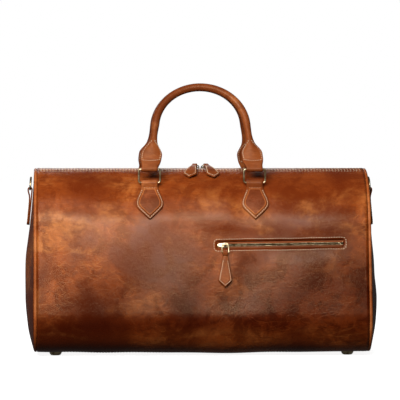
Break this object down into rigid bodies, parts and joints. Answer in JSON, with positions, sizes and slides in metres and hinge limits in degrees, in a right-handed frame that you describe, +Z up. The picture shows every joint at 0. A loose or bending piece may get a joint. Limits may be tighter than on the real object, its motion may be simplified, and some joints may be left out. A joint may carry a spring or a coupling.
{
  "type": "duffel bag",
  "caption": "Leather duffel bag with a round-topped body, rolled handles on metal rings, a full-length zip, a small zipped front pocket and stud feet.",
  "frame": {"origin": "middle of the bag's footprint, on the plane that its feet stand on", "axes": "+X along the bag to its right end, -Y out of the front with the pocket, +Z up"},
  "size_m": [0.5362, 0.25, 0.4101],
  "materials": {
    "main_leather": "pull-up leather, waxed, satin",
    "trim_leather": "pull-up leather, edge painted and stitched",
    "lining_cloth": "plain cotton twill",
    "zip_tape": "woven tape",
    "antique_brass": "antique, brushed",
    "base_stiffener": "matte board",
    "rope_core": "twisted cotton rope"
  },
  "bodies": {
    "bag": {"front_panel": "main_leather", "back_panel": "main_leather", "bottom_panel": "main_leather", "end_panel_left": "main_leather", "end_panel_right": "main_leather", "zip_placket_front": "main_leather", "zip_placket_back": "main_leather", "zip_end_left": "main_leather", "zip_end_right": "main_leather", "piping_left": "trim_leather", "piping_right": "trim_leather", "pocket_facing": "trim_leather", "chape_left": "trim_leather", "chape_right": "trim_leather", "handle_tab_front_left": "trim_leather", "handle_tab_front_right": "trim_leather", "handle_tab_back_left": "trim_leather", "handle_tab_back_right": "trim_leather", "lining": "lining_cloth", "pocket_pouch": "lining_cloth", "main_zip_tape_front": "zip_tape", "main_zip_tape_back": "zip_tape", "pocket_zip_tape_lower": "zip_tape", "pocket_zip_tape_upper": "zip_tape", "main_zip_teeth_front": "antique_brass", "main_zip_teeth_back": "antique_brass", "pocket_zip_teeth_lower": "antique_brass", "pocket_zip_teeth_upper": "antique_brass", "main_zip_stops": "antique_brass", "foot_washers": "antique_brass", "foot_front_left": "antique_brass", "foot_front_right": "antique_brass", "foot_back_left": "antique_brass", "foot_back_right": "antique_brass", "base_board": "base_stiffener"},
    "front_handle": {"front_handle": "trim_leather", "front_handle_core": "rope_core"},
    "back_handle": {"back_handle": "trim_leather", "back_handle_core": "rope_core"},
    "ring_front_left": {"ring_front_left": "antique_brass"},
    "ring_front_right": {"ring_front_right": "antique_brass"},
    "ring_back_left": {"ring_back_left": "antique_brass"},
    "ring_back_right": {"ring_back_right": "antique_brass"},
    "main_slider_left": {"main_slider_left": "antique_brass"},
    "main_slider_right": {"main_slider_right": "antique_brass"},
    "main_loop_left": {"main_loop_left": "antique_brass"},
    "main_loop_right": {"main_loop_right": "antique_brass"},
    "main_pull_left": {"main_pull_left": "trim_leather"},
    "main_pull_right": {"main_pull_right": "trim_leather"},
    "pocket_slider": {"pocket_slider": "antique_brass"},
    "pocket_loop": {"pocket_loop": "antique_brass"},
    "pocket_pull": {"pocket_pull": "trim_leather"},
    "d_ring_left": {"d_ring_left": "antique_brass"},
    "d_ring_right": {"d_ring_right": "antique_brass"}
  },
  "joints": [
    {"name": "ring_front_left_tilt", "type": "hinge", "parent": "bag", "child": "ring_front_left", "pos_m": [-0.079, -0.071, 0.25961], "axis": [1, 0, 0], "range_deg": [0, 115]},
    {"name": "ring_front_right_tilt", "type": "hinge", "parent": "bag", "child": "ring_front_right", "pos_m": [0.079, -0.071, 0.25961], "axis": [1, 0, 0], "range_deg": [0, 115]},
    {"name": "front_handle_tilt", "type": "hinge", "parent": "ring_front_left", "child": "front_handle", "pos_m": [-0.079, -0.071, 0.27961], "axis": [1, 0, 0], "range_deg": [0, 60]},
    {"name": "ring_back_left_tilt", "type": "hinge", "parent": "bag", "child": "ring_back_left", "pos_m": [-0.079, 0.071, 0.25961], "axis": [-1, 0, 0], "range_deg": [0, 115]},
    {"name": "ring_back_right_tilt", "type": "hinge", "parent": "bag", "child": "ring_back_right", "pos_m": [0.079, 0.071, 0.25961], "axis": [-1, 0, 0], "range_deg": [0, 115]},
    {"name": "back_handle_tilt", "type": "hinge", "parent": "ring_back_left", "child": "back_handle", "pos_m": [-0.079, 0.071, 0.27961], "axis": [-1, 0, 0], "range_deg": [0, 60]},
    {"name": "main_slider_left_travel", "type": "slide", "parent": "bag", "child": "main_slider_left", "axis": [-1, 0, 0], "range_m": [0, 0.204]},
    {"name": "main_loop_left_swing", "type": "hinge", "parent": "main_slider_left", "child": "main_loop_left", "pos_m": [-0.006, 0, 0.2821], "axis": [-0.9744, 0.225, 0], "range_deg": [0, 110]},
    {"name": "main_pull_left_swing", "type": "hinge", "parent": "main_loop_left", "child": "main_pull_left", "pos_m": [-0.00837, -0.01025, 0.28532], "axis": [-0.9744, 0.225, 0], "range_deg": [0, 70]},
    {"name": "main_slider_right_travel", "type": "slide", "parent": "bag", "child": "main_slider_right", "axis": [1, 0, 0], "range_m": [0, 0.204]},
    {"name": "main_loop_right_swing", "type": "hinge", "parent": "main_slider_right", "child": "main_loop_right", "pos_m": [0.006, 0, 0.2821], "axis": [-0.9744, -0.225, 0], "range_deg": [0, 110]},
    {"name": "main_pull_right_swing", "type": "hinge", "parent": "main_loop_right", "child": "main_pull_right", "pos_m": [0.00837, -0.01025, 0.28532], "axis": [-0.9744, -0.225, 0], "range_deg": [0, 70]},
    {"name": "pocket_slider_travel", "type": "slide", "parent": "bag", "child": "pocket_slider", "axis": [0.9999, 0.003, 0.0154], "range_m": [0, 0.171]},
    {"name": "pocket_loop_swing", "type": "hinge", "parent": "pocket_slider", "child": "pocket_loop", "pos_m": [0.03301, -0.10629, 0.16701], "axis": [-0.9999, -0.003, -0.0154], "range_deg": [0, 110]},
    {"name": "pocket_pull_swing", "type": "hinge", "parent": "pocket_loop", "child": "pocket_pull", "pos_m": [0.0332, -0.1104, 0.15573], "axis": [-0.9999, 0.003, 0.0154], "range_deg": [0, 70]},
    {"name": "d_ring_left_swing", "type": "hinge", "parent": "bag", "child": "d_ring_left", "pos_m": [-0.25851, 0, 0.24887], "axis": [0, -1, 0], "range_deg": [0, 160]},
    {"name": "d_ring_right_swing", "type": "hinge", "parent": "bag", "child": "d_ring_right", "pos_m": [0.25851, 0, 0.24887], "axis": [0, 1, 0], "range_deg": [0, 160]}
  ],
  "couplings": [
    {"joint": "ring_front_right_tilt", "follows": "ring_front_left_tilt", "ratio": 1},
    {"joint": "ring_back_right_tilt", "follows": "ring_back_left_tilt", "ratio": 1}
  ]
}
